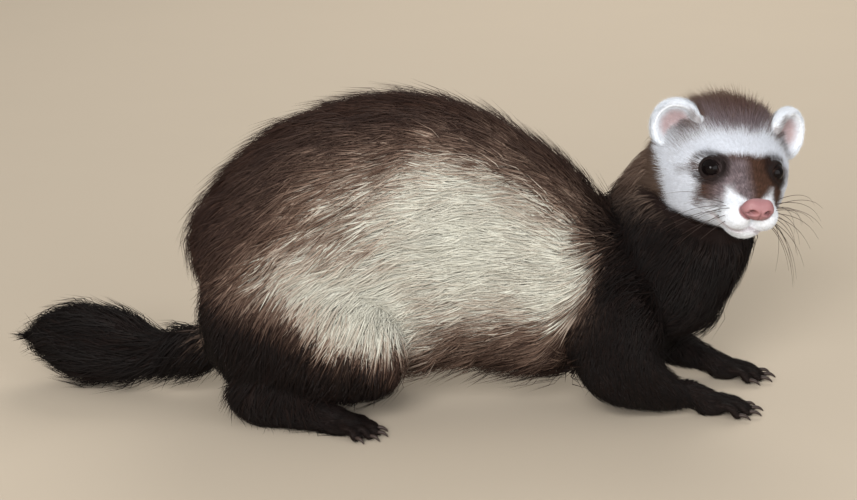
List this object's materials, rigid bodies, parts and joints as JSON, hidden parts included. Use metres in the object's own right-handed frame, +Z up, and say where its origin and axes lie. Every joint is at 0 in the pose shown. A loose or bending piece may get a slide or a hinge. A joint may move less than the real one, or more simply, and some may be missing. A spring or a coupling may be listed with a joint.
{
  "type": "ferret, still model",
  "caption": "Life-size ferret crouching on all fours with an arched back, its tail laid out behind and its head turned to its right.",
  "frame": {"origin": "centre of the whole model's outline seen from above, on the floor under its feet", "axes": "+X from the tail towards the chest, +Y to the animal's left, +Z up"},
  "size_m": [0.3684, 0.1142, 0.1438],
  "materials": {
    "body_coat": "long cream coat with dark tips",
    "dark_coat": "long dark brown coat",
    "face_coat": "short pale coat",
    "nose_skin": "moist pink skin",
    "eye": "polished black"
  },
  "bodies": {
    "root": {"torso": "body_coat", "neck": "dark_coat", "head": "face_coat", "nose": "nose_skin", "ear_left": "face_coat", "ear_right": "face_coat", "eye_left": "eye", "eye_right": "eye", "foreleg_left": "dark_coat", "foreleg_right": "dark_coat", "forepaw_left": "dark_coat", "forepaw_right": "dark_coat", "thigh_left": "dark_coat", "thigh_right": "dark_coat", "hind_foot_left": "dark_coat", "hind_foot_right": "dark_coat", "tail": "dark_coat"}
  },
  "joints": []
}
